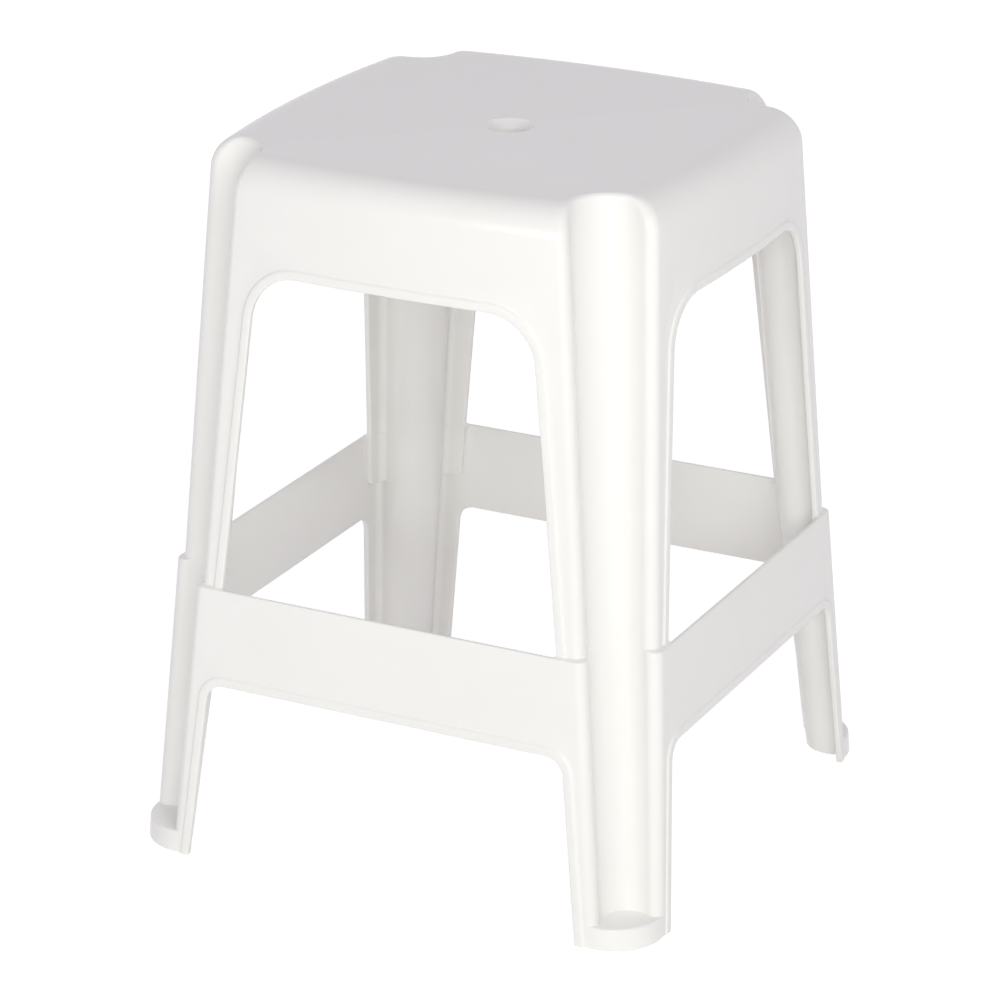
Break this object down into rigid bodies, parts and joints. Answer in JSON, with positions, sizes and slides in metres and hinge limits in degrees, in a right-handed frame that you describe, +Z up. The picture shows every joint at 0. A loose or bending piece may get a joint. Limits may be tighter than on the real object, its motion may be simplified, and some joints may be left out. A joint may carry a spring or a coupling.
{
  "type": "stacking stool",
  "caption": "Square backless plastic stool with a dished seat, fluted splayed legs, a deep apron and stretcher rails, shaped to nest in a stack.",
  "frame": {"origin": "middle of the footprint, on the floor", "axes": "+Z up; -Y out of the front side and +X out of the right side; the sides are alike, so front only names one of them"},
  "size_m": [0.3572, 0.3572, 0.45],
  "materials": {
    "moulding": "glossy white moulded polypropylene"
  },
  "bodies": {
    "root": {"seat_panel": "moulding", "seat_hole_collar": "moulding", "seat_rib_front_right": "moulding", "seat_rib_back_right": "moulding", "seat_rib_back_left": "moulding", "seat_rib_front_left": "moulding", "apron_front": "moulding", "apron_right": "moulding", "apron_back": "moulding", "apron_left": "moulding", "leg_front_right": "moulding", "leg_back_right": "moulding", "leg_back_left": "moulding", "leg_front_left": "moulding", "rail_front": "moulding", "rail_right": "moulding", "rail_back": "moulding", "rail_left": "moulding", "foot_front_right": "moulding", "foot_back_right": "moulding", "foot_back_left": "moulding", "foot_front_left": "moulding"}
  },
  "joints": []
}
